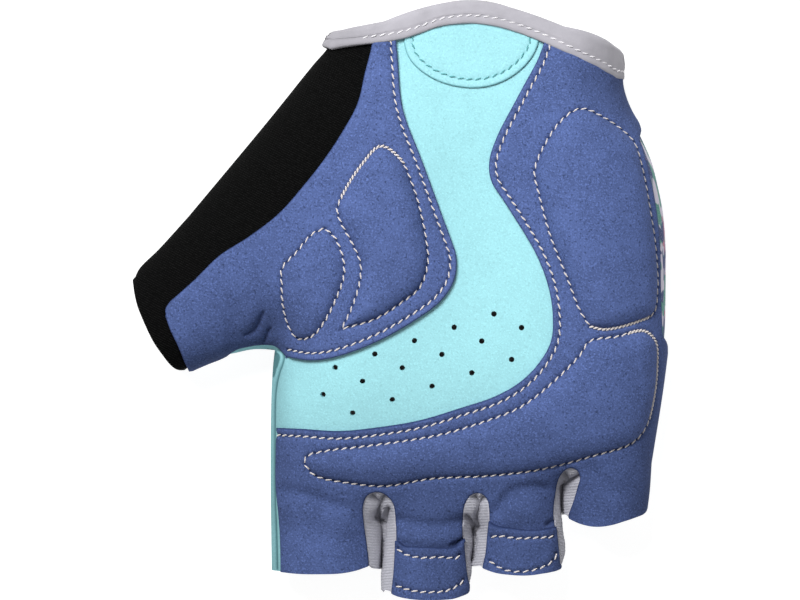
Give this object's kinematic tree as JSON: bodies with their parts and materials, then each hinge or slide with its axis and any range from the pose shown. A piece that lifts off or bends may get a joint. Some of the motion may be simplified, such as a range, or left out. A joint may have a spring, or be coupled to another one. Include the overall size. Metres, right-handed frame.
{
  "type": "cycling mitt",
  "caption": "Right-hand short-finger sport mitt with a padded suede palm, ribbed finger gussets, a terry thumb panel and a bound cuff.",
  "frame": {"origin": "centre of the mitt's box in plan, on the surface that it lies on", "axes": "+Z out of the palm, +Y from the finger ends to the wrist, +X to the little finger; the mitt lies on its back"},
  "size_m": [0.123, 0.1381, 0.032],
  "materials": {
    "aqua_suede": "matte napped synthetic suede",
    "blue_suede": "matte napped synthetic suede",
    "grey_tape": "soft folded binding tape",
    "grey_rib": "fine ribbed stretch knit",
    "black_knit": "matte ribbed towelling",
    "printed_stretch": "smooth stretch knit with a brush-stroke print",
    "foam": "soft foam, hidden under the suede"
  },
  "bodies": {
    "root": {"palm_base": "aqua_suede", "back_panel": "printed_stretch", "thumb_wipe": "black_knit", "thumb_hem": "black_knit", "gusset_index_middle": "grey_rib", "gusset_middle_ring": "grey_rib", "gusset_ring_little": "grey_rib", "thenar_overlay": "blue_suede", "outer_palm_overlay": "blue_suede", "cuff_patch": "aqua_suede", "thenar_pad": "foam", "web_pad": "foam", "heel_pad": "foam", "finger_base_pad": "foam", "middle_pull_tab": "blue_suede", "ring_pull_tab": "blue_suede", "cuff_binding": "grey_tape", "wrist_tab": "printed_stretch"}
  },
  "joints": []
}
